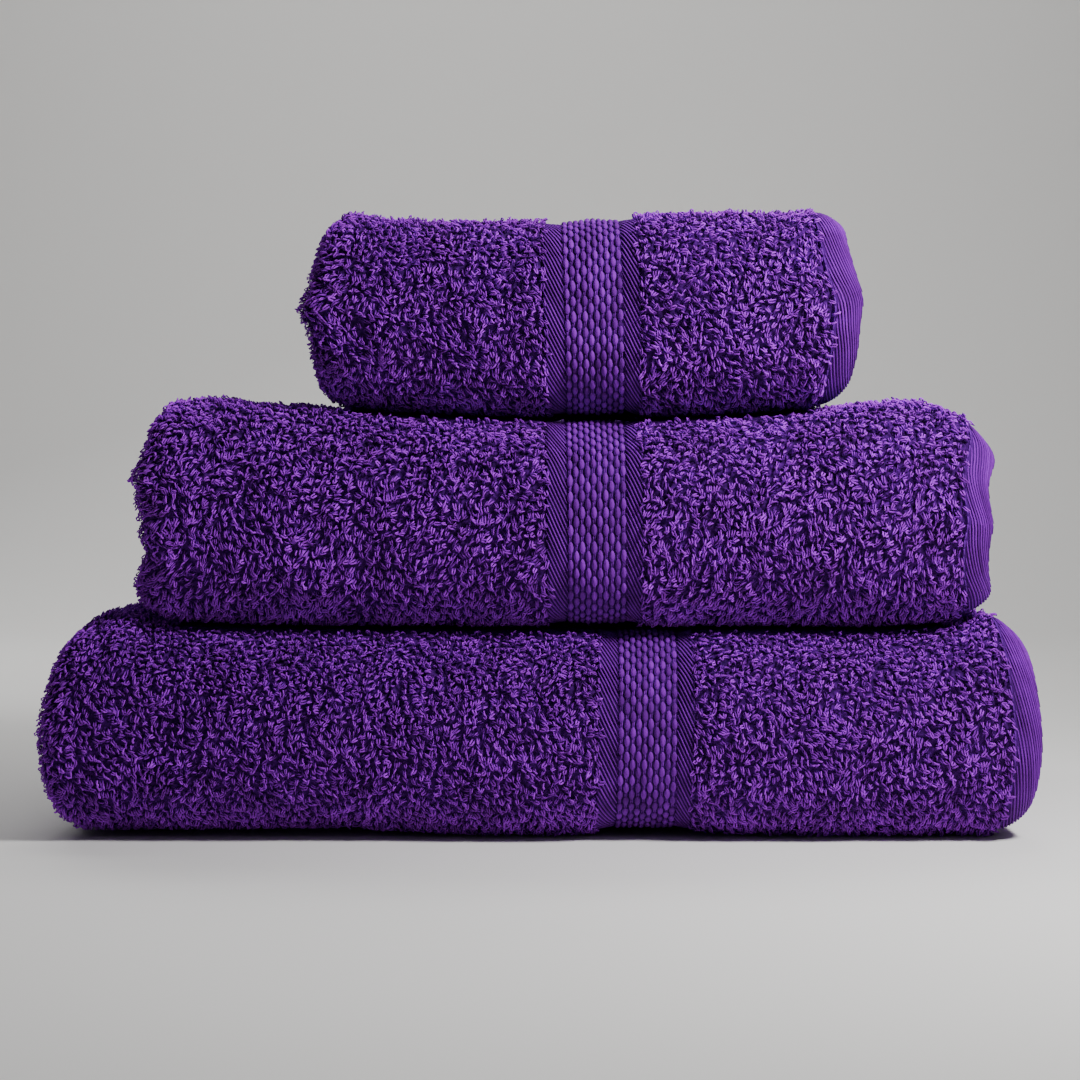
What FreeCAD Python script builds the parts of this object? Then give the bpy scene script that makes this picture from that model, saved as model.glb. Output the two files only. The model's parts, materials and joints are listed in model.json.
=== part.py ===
"""A bale of three folded terry towels: a bath sheet, a bath towel on it and a hand towel on top.

Frame, in millimetres: +Z is up, +X runs to the right along the folded front faces, and +Y points away
from the front, towards the free edges. The origin is the middle of the bale's footprint, at its base.

Each towel is one woven cloth, folded the same way. Its length is halved twice, which makes a band of
four plies whose ends show at the right. The band is then folded in thirds across the towel's width, so
that one full-height fold faces the front. Every weave zone of the cloth is a solid of its own, so that
the terry, the woven border, the hems and the sewing thread can each be handled by name.
"""

import FreeCAD
import Part

import math
import os
from dataclasses import dataclass

# Cloth, common to the three towels.
TWILL_THICKNESS = 1.8  # flat twill each side of the border's panel
PANEL_THICKNESS = 3.2  # grain-weave panel in the middle of the border
HEM_THICKNESS = 3.0  # turned and stitched end hem
SIDE_HEM_THICKNESS = 3.0  # turned and stitched side hem
PLY_GAP = 0.6  # air between two plies that lie on each other
BAND_GAP = 0.6  # air between two thirds of the folded band

# Zones along the cloth, measured from its cut end.
HEM_LENGTH = 16.0
TWILL_NEAR_HEM = 7.0
PANEL_WIDTH = 23.9
TWILL_NEAR_FIELD = 8.5
SIDE_HEM_WIDTH = 12.0

# Sewing thread that lies on the hems.
THREAD_WIDTH = 0.8
THREAD_HEIGHT = 0.5
THREAD_INSET = 3.0  # from the hem's inner edge to the middle of the thread

# Folds.
HEM_CURL = math.radians(65)  # how far the outer hem turns in round the plies' ends
CURL_PITCHES = 2.0  # radius of that turn, in ply pitches
CURL_CLEARANCE = 0.6  # between the curled hem and the ply ends inside it
FOLD_INSET = 1.0  # from the hem's furthest point back to the fold beside it
CORNER_CLEARANCE = 3.0  # inner radius left where the band turns at the front
FRONT_BULGE = math.radians(20)  # half the angle of the large arc down the front
FREE_EDGE_SETBACK = 9.0  # from the back fold forward to the free edge on top
TUCK_CLEARANCE = 6.0  # from the tucked end to the inside of the front fold


@dataclass(frozen=True)
class Towel:
    """One towel of the bale, with its flat size and its place."""

    name: str
    width: float  # side hem to side hem
    length: float  # end hem to end hem
    ply_pitch: float  # height that each ply takes in the folded towel
    border_offset: float  # from the cut end to the near edge of the border
    shift_x: float  # middle of the folded towel, from the bale's middle
    front_setback: float  # from the bath sheet's front back to this towel's front


TOWELS = (
    Towel("bath_sheet", 900.0, 1600.0, 7.27, 142.0, 0.0, 0.0),
    Towel("bath_towel", 700.0, 1400.0, 7.30, 147.0, 9.5, 4.0),
    Towel("hand_towel", 500.0, 900.0, 7.15, 93.0, 17.0, 10.0),
)


@dataclass(frozen=True)
class Run:
    """One stretch of a track: where it starts, its heading, its length and how far it turns."""

    start: tuple
    heading: float
    length: float
    turn: float  # radians, positive to the left, 0 for a straight

    def at(self, distance, offset=0.0):
        """The point at a distance along the run, moved to the left by offset."""
        a, b = self.start
        if self.turn == 0.0:
            heading = self.heading
            a += distance * math.cos(heading)
            b += distance * math.sin(heading)
        else:
            radius = self.length / self.turn
            heading = self.heading + distance / radius
            a += radius * (math.sin(heading) - math.sin(self.heading))
            b -= radius * (math.cos(heading) - math.cos(self.heading))
        return a - offset * math.sin(heading), b + offset * math.cos(heading)


class Track:
    """A plane path of straights and tangent arcs."""

    def __init__(self, start, heading, stretches):
        """Stretches are (length, turn) pairs, laid end to end from start."""
        self.runs = []
        for length, turn in stretches:
            run = Run(start, heading, length, turn)
            self.runs.append(run)
            start = run.at(length)
            heading += turn
        self.length = sum(run.length for run in self.runs)

    def between(self, first, last):
        """The runs from one distance to another, the end ones cut to fit."""
        found = []
        begun = 0.0
        for run in self.runs:
            low = max(first - begun, 0.0)
            high = min(last - begun, run.length)
            if high - low > 1e-6:
                share = 1.0 / run.length
                heading = run.heading + run.turn * low * share
                found.append(Run(run.at(low), heading, high - low, run.turn * (high - low) * share))
            begun += run.length
        return found


def arc_stretch(radius, turn):
    """The (length, turn) pair of an arc."""
    return radius * abs(turn), turn


def strip_face(track, first, last, low, high):
    """A flat strip along a track, between two distances and two offsets to its left."""

    def side(runs, offset, forward):
        edges = []
        for run in runs:
            ends = (0.0, run.length) if forward else (run.length, 0.0)
            points = [FreeCAD.Vector(*run.at(d, offset), 0) for d in (ends[0], run.length / 2, ends[1])]
            curve = Part.LineSegment(points[0], points[2]) if run.turn == 0.0 else Part.Arc(*points)
            edges.append(curve.toShape())
        return edges

    runs = track.between(first, last)
    there = side(runs, low, True)
    back = side(runs[::-1], high, False)
    far_cap = Part.makeLine(there[-1].Vertexes[-1].Point, FreeCAD.Vector(*runs[-1].at(runs[-1].length, high), 0))
    near_cap = Part.makeLine(FreeCAD.Vector(*runs[0].at(0.0, high), 0), FreeCAD.Vector(*runs[0].at(0.0, low), 0))
    return Part.Face(Part.Wire([*there, far_cap, *back, near_cap]))


def sweep(face, track, first, last):
    """Carries a face in (x, depth) along a track in (y, z). Depth points to the track's left."""
    x_axis = FreeCAD.Vector(1, 0, 0)
    solids = []
    for run in track.between(first, last):
        section = face.copy()
        section.Placement = FreeCAD.Placement(
            FreeCAD.Vector(0, *run.start), FreeCAD.Rotation(x_axis, 90 + math.degrees(run.heading))
        )
        if run.turn == 0.0:
            ahead = FreeCAD.Vector(0, math.cos(run.heading), math.sin(run.heading))
            solids.append(section.extrude(ahead * run.length))
        else:
            centre = FreeCAD.Vector(0, *run.at(0.0, run.length / run.turn))
            solids.append(section.revolve(centre, x_axis, math.degrees(run.turn)))
    return solids[0] if len(solids) == 1 else solids[0].multiFuse(solids[1:]).removeSplitter()


class FoldedTowel:
    """The solids of one folded towel, from its flat size and the way it is folded."""

    def __init__(self, towel, front, base):
        self.towel = towel
        self.front = front
        self.base = base
        self.terry = towel.ply_pitch - PLY_GAP
        self.band = 3 * towel.ply_pitch + self.terry
        self.height = 3 * self.band + 2 * BAND_GAP
        self.section, self.reach = self.ply_track()
        self.wrap, self.depth = self.band_track()

    def ply_track(self):
        """The cloth's middle line in (x, depth), from its outer cut end, and its (left, right) reach."""
        pitch = self.towel.ply_pitch
        curl = CURL_PITCHES * pitch
        half_hem = HEM_THICKNESS / 2
        reach_right = (curl + half_hem) * math.sin(HEM_CURL)
        inner_fold = reach_right - FOLD_INSET - pitch / 2 - self.terry / 2
        inner_end = math.sqrt((curl - half_hem) ** 2 - (curl - pitch + half_hem) ** 2) - CURL_CLEARANCE
        folds = curl * HEM_CURL + 2.5 * math.pi * pitch
        quarter = (self.towel.length - folds - 2 * inner_fold - inner_end) / 4
        reach_left = 1.5 * pitch + self.terry / 2
        left = self.towel.shift_x - (quarter + reach_right - reach_left) / 2
        end = (
            left + quarter + curl * math.sin(HEM_CURL),
            self.terry / 2 + curl * (1 - math.cos(HEM_CURL)),
        )
        track = Track(
            end,
            math.pi + HEM_CURL,
            (
                arc_stretch(curl, -HEM_CURL),
                (quarter, 0.0),
                arc_stretch(1.5 * pitch, -math.pi),
                (quarter + inner_fold, 0.0),
                arc_stretch(0.5 * pitch, -math.pi),
                (quarter + inner_fold, 0.0),
                arc_stretch(0.5 * pitch, math.pi),
                (quarter + inner_end, 0.0),
            ),
        )
        return track, (left - reach_left, left + quarter + reach_right)

    def band_track(self):
        """The band's outer face in (y, z), from the free edge on top to the tucked end, and its depth."""
        corner = self.band + CORNER_CLEARANCE
        bulge = corner + (self.height / 2 - corner) / math.sin(FRONT_BULGE)
        corner_turn = math.pi / 2 - FRONT_BULGE
        corner_back = bulge * (1 - math.cos(FRONT_BULGE)) + corner * math.cos(FRONT_BULGE)
        rear = self.band + BAND_GAP / 2
        middle = self.band / 2
        turns = 2 * corner_turn * (corner - middle) + 2 * FRONT_BULGE * (bulge - middle)
        turns += math.pi * (rear - middle)
        taken = 2 * corner_back + FREE_EDGE_SETBACK + 2 * rear + self.band + TUCK_CLEARANCE
        depth = (self.towel.width - turns + taken) / 3
        free_edge = self.front + depth - FREE_EDGE_SETBACK
        track = Track(
            (free_edge, self.base + self.height),
            math.pi,
            (
                (depth - corner_back - FREE_EDGE_SETBACK, 0.0),
                arc_stretch(corner, corner_turn),
                arc_stretch(bulge, 2 * FRONT_BULGE),
                arc_stretch(corner, corner_turn),
                (depth - corner_back - rear, 0.0),
                arc_stretch(rear, math.pi),
                (depth - rear - self.band - TUCK_CLEARANCE, 0.0),
            ),
        )
        return track, depth

    def zone(self, along, thickness, across=None):
        """A stretch of cloth, between two distances along the towel and two across it."""
        first, last = across or (SIDE_HEM_WIDTH, self.wrap.length - SIDE_HEM_WIDTH)
        face = strip_face(self.section, *along, -thickness / 2, thickness / 2)
        return sweep(face, self.wrap, first, last)

    def thread(self, along, across, surface):
        """Sewing thread on the cloth's left face, which is the outer one on the outer ply."""
        face = strip_face(self.section, *along, surface, surface + THREAD_HEIGHT)
        return sweep(face, self.wrap, *across)

    def mirrored(self, along):
        """The same stretch, measured from the towel's other end."""
        return self.towel.length - along[1], self.towel.length - along[0]

    def solids(self):
        """Every node of the towel, by name."""
        near = self.towel.border_offset
        panel = near + TWILL_NEAR_HEM
        far_twill = panel + PANEL_WIDTH
        field = far_twill + TWILL_NEAR_FIELD
        wrap = self.wrap.length
        whole = (0.0, wrap)
        stretches = {
            "terry_end": ([(HEM_LENGTH, near)], self.terry, None),
            "border_panel": ([(panel, far_twill)], PANEL_THICKNESS, None),
            "border_twill": ([(near, panel), (far_twill, field)], TWILL_THICKNESS, None),
            "end_hem": ([(0.0, HEM_LENGTH)], HEM_THICKNESS, whole),
        }
        found = {"terry_field": self.zone((field, self.towel.length - field), self.terry)}
        for kind, (spans, thickness, across) in stretches.items():
            outer = [self.zone(span, thickness, across) for span in spans]
            inner = [self.zone(self.mirrored(span), thickness, across) for span in spans]
            found[f"{kind}_outer"] = Part.makeCompound(outer)
            found[f"{kind}_inner"] = Part.makeCompound(inner)

        between_hems = (HEM_LENGTH, self.towel.length - HEM_LENGTH)
        edges = {"top": (0.0, SIDE_HEM_WIDTH), "tucked": (wrap - SIDE_HEM_WIDTH, wrap)}
        for edge, across in edges.items():
            found[f"side_hem_{edge}"] = self.zone(between_hems, SIDE_HEM_THICKNESS, across)

        end_seam = HEM_LENGTH - THREAD_INSET
        on_hem = (end_seam - THREAD_WIDTH / 2, end_seam + THREAD_WIDTH / 2)
        found["end_hem_thread"] = self.thread(on_hem, whole, HEM_THICKNESS / 2)
        side_seam = SIDE_HEM_WIDTH - THREAD_INSET
        on_side = (side_seam - THREAD_WIDTH / 2, side_seam + THREAD_WIDTH / 2)
        found["side_hem_thread"] = self.thread(between_hems, on_side, SIDE_HEM_THICKNESS / 2)
        return {f"{self.towel.name}_{kind}": shape for kind, shape in found.items()}


def stack():
    """The folded towels, each resting on the one before it, with the bath sheet centred on the origin."""
    front = -FoldedTowel(TOWELS[0], 0.0, 0.0).depth / 2
    base = 0.0
    folded = []
    for towel in TOWELS:
        folded.append(FoldedTowel(towel, front + towel.front_setback, base))
        base += folded[-1].height
    return folded


def main():
    """Writes one STEP file per node."""
    os.makedirs("parts", exist_ok=True)
    for folded in stack():
        reach = ", ".join(f"{x:.1f}" for x in folded.reach)
        print(
            f"{folded.towel.name}: x {reach}; front {folded.front:.1f}, depth {folded.depth:.1f}; "
            f"base {folded.base:.1f}, height {folded.height:.1f}"
        )
        for name, shape in folded.solids().items():
            if not shape.isValid() or min(solid.Volume for solid in shape.Solids) <= 0:
                raise ValueError(f"{name} isn't a set of valid solids")
            shape.exportStep(f"parts/{name}.step")


main()
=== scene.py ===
"""Dresses a bale of three folded terry towels: woven cloth, looped pile, borders, hems and stitching.

Every piece of cloth is made flat, as it is woven. Its mesh then holds (u, v, w): u along the towel from
its cut end, v across it from its free edge, and w out of its face. FoldedTowel.fold carries such a mesh
to its place in the folded, settled towel. Lengths are in metres.
"""

import json
import logging
import math
from dataclasses import dataclass
from enum import Enum
from typing import Callable, Iterable, Sequence

import bmesh
import bpy
import numpy as np
from mathutils import Matrix, Vector


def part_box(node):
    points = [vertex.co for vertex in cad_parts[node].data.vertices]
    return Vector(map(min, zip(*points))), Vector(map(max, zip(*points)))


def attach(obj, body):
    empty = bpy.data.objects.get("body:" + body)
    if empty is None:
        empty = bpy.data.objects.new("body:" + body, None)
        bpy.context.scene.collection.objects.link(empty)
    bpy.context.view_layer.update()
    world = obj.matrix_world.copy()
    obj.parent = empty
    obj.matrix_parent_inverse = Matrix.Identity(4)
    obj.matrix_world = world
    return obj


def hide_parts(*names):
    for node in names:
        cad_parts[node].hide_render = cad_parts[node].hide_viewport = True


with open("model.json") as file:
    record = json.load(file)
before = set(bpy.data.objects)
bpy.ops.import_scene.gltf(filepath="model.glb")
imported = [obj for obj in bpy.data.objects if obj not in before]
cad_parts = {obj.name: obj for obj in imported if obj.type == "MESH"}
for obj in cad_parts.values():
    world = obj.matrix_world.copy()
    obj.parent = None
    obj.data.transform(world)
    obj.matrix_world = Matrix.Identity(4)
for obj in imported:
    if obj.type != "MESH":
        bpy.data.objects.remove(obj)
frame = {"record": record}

log = logging.getLogger("towels")

# Cloth, the same for the three towels.
TWILL_THICKNESS = 0.0018
PANEL_THICKNESS = 0.0032
HEM_THICKNESS = 0.0030
SIDE_HEM_THICKNESS = 0.0030
PLY_GAP = 0.0006
BAND_GAP = 0.0006
CORE_THICKNESS = 0.0010  # ground cloth that runs under the border

# Zones along the cloth, from its cut end.
HEM_LENGTH = 0.0160
TWILL_NEAR_HEM = 0.0070
PANEL_WIDTH = 0.0239
TWILL_NEAR_FIELD = 0.0085
SIDE_HEM_WIDTH = 0.0120
GRAIN_COLUMNS = 10
GRAIN_PITCH = 0.0068  # from grain to grain along a column
STITCH_PITCH = 0.0036
ZONE_STEP = 0.0012  # over which the terry thins beside another zone
TUCK_UNDER = 0.0020  # how far the ground cloth runs under a hem

# Folds.
HEM_CURL = math.radians(65)
CURL_PITCHES = 2.0
CURL_CLEARANCE = 0.0006
FOLD_INSET = 0.0010
CORNER_CLEARANCE = 0.0030
FRONT_BULGE = math.radians(20)
FREE_EDGE_SETBACK = 0.0090
TUCK_CLEARANCE = 0.0060

# Pile.
LOOP_SINK = 0.0017  # from the towel's nominal face down to the loops' roots
GROUND_STEP = 0.014  # grid of the ground cloth, on its straight stretches
TURN_STEP = math.radians(18)
EMITTER_STEP = 0.005
MOST_LOOPS = 900000.0  # to a square metre, more than the spacing lets stand
CONTACT_DEPTH = 0.0022  # a face this near what it touches is pressed by it
PRESSED_RISE = 0.0009  # how much higher the roots show where the pile is pressed flat
PAST_CORNER = 0.012  # how far the front's and the rear's pile runs on past the corner above it
OVERLAP = 0.004  # and past the corner below it
FOLD_OVERLAP = 0.002  # how far a fold's pile runs on past the fold
SHEEN_TINT = (0.62, 0.14, 1.0, 1.0)

# Settling.
END_SOFTNESS = 0.060  # how far in from its ends a towel gives
FRONT_SOFTNESS = 0.070
SEAT_INSET, SEAT_RAMP = 0.002, 0.016  # where the towel above starts to weigh on the surface
PRESSED_INSET, PRESSED_RAMP = 0.018, 0.001  # and where it presses the pile
ROUNDED_FRONT, ROUNDED_END = 0.030, 0.006  # rims of the underside that curve up off what it touches

Grid = np.ndarray
Span = tuple[float, float]
Shape = bmesh.types.BMesh
Piece = bpy.types.Object
Material = bpy.types.Material
Tree = bpy.types.NodeTree
Socket = bpy.types.NodeSocket
Relief = Callable[[Grid, Grid], tuple[Grid, Grid]]


def smooth(value: Grid) -> Grid:
    """An S-shaped ramp from 0 to 1 as value goes from 0 to 1."""
    held = np.clip(value, 0.0, 1.0)
    return held * held * (3.0 - 2.0 * held)


def outline(where: Grid, stations: Sequence[float], values: Sequence[float]) -> Grid:
    """A smooth curve through a few stations.

    Args:
        where: Where to read the curve.
        stations: Rising positions of the curve's points.
        values: Their values.

    Returns:
        The curve's value at each position.
    """
    at = np.asarray(stations)
    value = np.asarray(values)
    slope = np.gradient(value, at)
    held = np.clip(where, at[0], at[-1])
    left = np.clip(np.searchsorted(at, held, side="right") - 1, 0, len(at) - 2)
    span = at[left + 1] - at[left]
    share = (held - at[left]) / span
    blend = share * share * (3.0 - 2.0 * share)
    start = share * (1.0 - share) ** 2 * span * slope[left]
    end = share**2 * (share - 1.0) * span * slope[left + 1]
    return value[left] * (1.0 - blend) + value[left + 1] * blend + start + end


def swell(first: Grid, second: Grid, seed: float) -> Grid:
    """A smooth field of irregular waves about one unit long, from about -1 to 1."""
    total = 0.0
    for step, (turn, reach) in enumerate(((0.3, 1.0), (1.7, 1.37), (2.6, 0.73), (4.1, 1.91))):
        along = first * math.cos(turn + seed) + second * math.sin(turn + seed)
        total = total + np.sin(2.0 * math.pi * along * reach + seed * (step + 2.3)) / (1.0 + 0.4 * step)
    return total / 2.2


@dataclass(frozen=True)
class RibSizes:
    """Sizes of the slanting ribs on a flat weave."""

    pitch: float  # from rib to rib, measured across them
    angle: float  # their slant from v
    width: float
    stand: float  # how far their middles stand over the face


TWILL_RIBS = RibSizes(0.00136, math.radians(24), 0.00074, 0.00020)
HEM_RIBS = RibSizes(0.00122, math.radians(10), 0.00078, 0.00008)


@dataclass(frozen=True)
class Stretch:
    """A straight of a track, or an arc of it when it turns."""

    length: float
    turn: float = 0.0


def bend(radius: float, turn: float) -> Stretch:
    """An arc of a track, turning left when turn is positive."""
    return Stretch(radius * abs(turn), turn)


class Track:
    """A plane path of straights and tangent arcs."""

    def __init__(self, start: tuple[float, float], heading: float, stretches: Iterable[Stretch]) -> None:
        """Lays the stretches end to end.

        Args:
            start: Where the track starts.
            heading: Its first heading, in radians.
            stretches: Its straights and arcs.
        """
        begins, starts, headings, rates = [], [], [], []
        along = 0.0
        place = np.array(start)
        for stretch in stretches:
            begins.append(along)
            starts.append(place)
            headings.append(heading)
            rates.append(stretch.turn / stretch.length)
            half = stretch.turn / 2
            chord = stretch.length * np.sinc(half / math.pi)
            place = place + chord * np.array((math.cos(heading + half), math.sin(heading + half)))
            heading += stretch.turn
            along += stretch.length
        self.begins = np.array(begins)
        self.starts = np.array(starts)
        self.headings = np.array(headings)
        self.rates = np.array(rates)
        self.length = along

    def place(self, distance: Grid, offset: Grid) -> tuple[Grid, Grid]:
        """Points at distances along the track, moved to its left by offsets."""
        run = np.clip(np.searchsorted(self.begins, distance, side="right") - 1, 0, len(self.begins) - 1)
        travelled = distance - self.begins[run]
        half = travelled * self.rates[run] / 2
        chord = travelled * np.sinc(half / math.pi)
        towards = self.headings[run] + half
        heading = towards + half
        first = self.starts[run, 0] + chord * np.cos(towards) - offset * np.sin(heading)
        second = self.starts[run, 1] + chord * np.sin(towards) + offset * np.cos(heading)
        return first, second

    def span(self, run: int) -> Span:
        """Where a stretch begins and ends, by its number."""
        ends = [*self.begins[1:], self.length]
        return float(self.begins[run]), float(ends[run])

    def lines(self, first: float, last: float, step: float, extra: Sequence[float] = ()) -> Grid:
        """Grid lines along part of the track, closer together where it turns.

        Args:
            first: Where the lines begin.
            last: Where they end.
            step: The most between two lines on a straight.
            extra: More lines to add.

        Returns:
            The lines' distances, rising.
        """
        marks = {first, last, *(mark for mark in extra if first < mark < last)}
        marks.update(float(begin) for begin in self.begins if first < begin < last)
        corners = sorted(marks)
        lines = [first]
        for low, high in zip(corners, corners[1:]):
            rate = abs(self.rates[np.searchsorted(self.begins, (low + high) / 2, side="right") - 1])
            count = math.ceil(max((high - low) / step, (high - low) * rate / TURN_STEP, 1.0) - 1e-9)
            lines.extend(np.linspace(low, high, count + 1)[1:])
        return np.array(lines)


@dataclass(frozen=True)
class Footprint:
    """The floor that something covers."""

    left: float
    right: float
    front: float
    back: float

    def covers(self, x: Grid, y: Grid, inset: float, ramp: float) -> Grid:
        """How far points are inside the footprint less its inset, from 0 to 1 over the ramp."""
        inside = np.minimum(
            np.minimum(x - self.left, self.right - x), np.minimum(y - self.front, self.back - y)
        )
        return smooth((inside - inset) / ramp + 0.5)


@dataclass(frozen=True)
class Profile:
    """A curve through a few points, such as how far an end of the towel moves at each height."""

    stations: tuple[float, ...]
    values: tuple[float, ...]

    def at(self, where: Grid) -> Grid:
        """The curve's value at each position."""
        return outline(where, self.stations, self.values)


LEVEL = Profile((0.0, 1.0), (0.0, 0.0))
PANEL_CROWN = Profile((0.0, 0.5, 1.0), (0.0, 0.0006, 0.0))
DISH_AFTER_TERRY = Profile((0.0, 0.45, 1.0), (0.0008, 0.0003, -0.0003))
DISH_BEFORE_TERRY = Profile((0.0, 0.55, 1.0), (-0.0003, 0.0003, 0.0008))


@dataclass(frozen=True)
class Seat:
    """The surface on which one towel lies on another, or on the floor."""

    footprint: Footprint
    rises: Profile  # from the upper towel's left end 0 to its right end 1

    def rise(self, x: Grid) -> Grid:
        """How far the surface has settled up or down."""
        place = self.footprint
        return self.rises.at((x - place.left) / (place.right - place.left))


@dataclass(frozen=True)
class Cut:
    """A towel as it is cut, with the way its folded bundle has settled."""

    name: str
    width: float
    length: float
    ply_pitch: float
    border_offset: float
    left_end: Profile  # moves in x, from the base 0 to the top 1
    right_end: Profile
    top: Profile  # lifts of the free top, from the left end 0 to the right end 1
    foot: Profile  # lifts of the surface it lies on
    lean: float  # how far the front shears from its base to its top
    pile_flow: float  # heading of the brushed loops
    pile_drift: float  # how far that heading wanders over the cloth
    pile_size: float
    seed: float


class FoldedTowel:
    """The shape of one folded and settled towel, which carries flat cloth to its place."""

    def __init__(self, cut: Cut, above: Seat | None) -> None:
        """Works out the folds.

        Args:
            cut: The towel.
            above: Where the towel on top of it lies.
        """
        self.cut = cut
        self.above = above
        low, high = body_box(cut.name)
        self.front = low.y
        self.base = low.z
        self.on_floor = low.z < 0.001
        self.terry = cut.ply_pitch - PLY_GAP
        self.band = 3 * cut.ply_pitch + self.terry
        self.height = 3 * self.band + 2 * BAND_GAP
        self.below = seat_of(cut)
        self.footprint = self.below.footprint
        self.section = self.ply_track(low.x)
        self.wrap = self.band_track()

    def ply_track(self, left_reach: float) -> Track:
        """The cloth's middle line in (x, depth), from its outer cut end."""
        pitch = self.cut.ply_pitch
        curl = CURL_PITCHES * pitch
        half_hem = HEM_THICKNESS / 2
        reach = (curl + half_hem) * math.sin(HEM_CURL)
        inner_fold = reach - FOLD_INSET - pitch / 2 - self.terry / 2
        inner_end = math.sqrt((curl - half_hem) ** 2 - (curl - pitch + half_hem) ** 2) - CURL_CLEARANCE
        folds = curl * HEM_CURL + 2.5 * math.pi * pitch
        quarter = (self.cut.length - folds - 2 * inner_fold - inner_end) / 4
        left = left_reach + 1.5 * pitch + self.terry / 2
        end = (
            left + quarter + curl * math.sin(HEM_CURL),
            self.terry / 2 + curl * (1 - math.cos(HEM_CURL)),
        )
        return Track(
            end,
            math.pi + HEM_CURL,
            (
                bend(curl, -HEM_CURL),
                Stretch(quarter),
                bend(1.5 * pitch, -math.pi),
                Stretch(quarter + inner_fold),
                bend(0.5 * pitch, -math.pi),
                Stretch(quarter + inner_fold),
                bend(0.5 * pitch, math.pi),
                Stretch(quarter + inner_end),
            ),
        )

    def band_track(self) -> Track:
        """The band's outer face in (y, z), from the free edge on top to the tucked end."""
        corner = self.band + CORNER_CLEARANCE
        bulge = corner + (self.height / 2 - corner) / math.sin(FRONT_BULGE)
        corner_turn = math.pi / 2 - FRONT_BULGE
        corner_back = bulge * (1 - math.cos(FRONT_BULGE)) + corner * math.cos(FRONT_BULGE)
        rear = self.band + BAND_GAP / 2
        middle = self.band / 2
        turns = 2 * corner_turn * (corner - middle) + 2 * FRONT_BULGE * (bulge - middle)
        turns += math.pi * (rear - middle)
        taken = 2 * corner_back + FREE_EDGE_SETBACK + 2 * rear + self.band + TUCK_CLEARANCE
        depth = (self.cut.width - turns + taken) / 3
        return Track(
            (self.front + depth - FREE_EDGE_SETBACK, self.base + self.height),
            math.pi,
            (
                Stretch(depth - corner_back - FREE_EDGE_SETBACK),
                bend(corner, corner_turn),
                bend(bulge, 2 * FRONT_BULGE),
                bend(corner, corner_turn),
                Stretch(depth - corner_back - rear),
                bend(rear, math.pi),
                Stretch(depth - rear - self.band - TUCK_CLEARANCE),
            ),
        )

    def folded(self, flat: Grid) -> Grid:
        """Points of the flat cloth on the ideal folded towel."""
        x, depth = self.section.place(flat[:, 0], flat[:, 2])
        y, z = self.wrap.place(flat[:, 1], depth)
        return np.stack((x, y, z), axis=1)

    def settled(self, points: Grid) -> Grid:
        """The same points once the soft bundle has settled."""
        cut = self.cut
        place = self.footprint
        x, y, z = points.T
        rise = (z - self.base) / self.height
        across = (x - place.left) / (place.right - place.left)

        at_left = smooth(1.0 - (x - place.left) / END_SOFTNESS)
        at_right = smooth(1.0 - (place.right - x) / END_SOFTNESS)
        at_front = smooth(1.0 - (y - place.front) / FRONT_SOFTNESS)
        moved_x = at_left * cut.left_end.at(rise) + at_right * cut.right_end.at(rise)
        moved_x = moved_x + cut.lean * (rise - 0.5) * (1.0 - at_left) * (1.0 - at_right)

        lump = 0.0006 * swell(x / 0.034, (z + y) / 0.029, cut.seed + 2.0)
        lump = lump + 0.0003 * swell(x / 0.015, (z + y) / 0.013, cut.seed + 4.0)
        moved_y = at_front * (0.0014 * swell(x / 0.15, z / 0.08, cut.seed + 1.0) + lump)

        low = self.below.rise(x)
        if self.on_floor:
            low = low * at_front
        high = cut.top.at(across) + 0.0009 * swell(x / 0.12, y / 0.10, cut.seed + 3.0) + lump
        if self.above is not None:
            pressed = self.above.footprint.covers(x, y, SEAT_INSET, SEAT_RAMP)
            high = pressed * self.above.rise(x) + (1.0 - pressed) * high
        share = np.clip(rise, 0.0, 1.0)
        moved_z = (1.0 - share) * low + share * high
        z_new = np.maximum(z + moved_z, self.base + low + 0.0001)
        return np.stack((x + moved_x, y + moved_y, z_new), axis=1)

    def underneath(self, flat: Grid) -> Grid:
        """Which points of the flat cloth end up on the underside."""
        x, y, z = self.folded(flat).T
        place = self.footprint
        inset_x = np.minimum(x - place.left, place.right - x)
        inset_y = np.minimum(y - place.front, place.back - y)
        return (inset_y > ROUNDED_FRONT) & (inset_x > ROUNDED_END) & (z < self.base + CONTACT_DEPTH)

    def pressed(self, flat: Grid) -> Grid:
        """Which points of the flat cloth end up with weight on them, above or below."""
        under = self.underneath(flat)
        if self.above is None:
            return under
        x, y, z = self.folded(flat).T
        over = z > self.base + self.height - CONTACT_DEPTH
        return under | (over & (self.above.footprint.covers(x, y, PRESSED_INSET, PRESSED_RAMP) > 0.5))

    def fold(self, piece: Piece) -> None:
        """Carries a flat mesh to its place, and keeps its flat coordinates as a UV map."""
        mesh = piece.data
        flat = read_points(mesh)
        corners = np.empty(len(mesh.loops), dtype=np.int32)
        mesh.loops.foreach_get("vertex_index", corners)
        woven = mesh.uv_layers.new(name="weave")
        woven.uv.foreach_set("vector", flat[corners, :2].astype(np.float32).ravel())
        write_points(mesh, self.settled(self.folded(flat)))


def body_box(name: str) -> tuple[Vector, Vector]:
    """The lowest and highest corner of all the nodes of a body."""
    boxes = [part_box(node) for node in frame["record"]["behaviour"]["bodies"][name]]
    low = Vector([min(box[0][axis] for box in boxes) for axis in range(3)])
    high = Vector([max(box[1][axis] for box in boxes) for axis in range(3)])
    return low, high


def seat_of(cut: Cut) -> Seat:
    """Where a towel lies."""
    low, high = body_box(cut.name)
    return Seat(Footprint(low.x, high.x, low.y, high.y), cut.foot)


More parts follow.
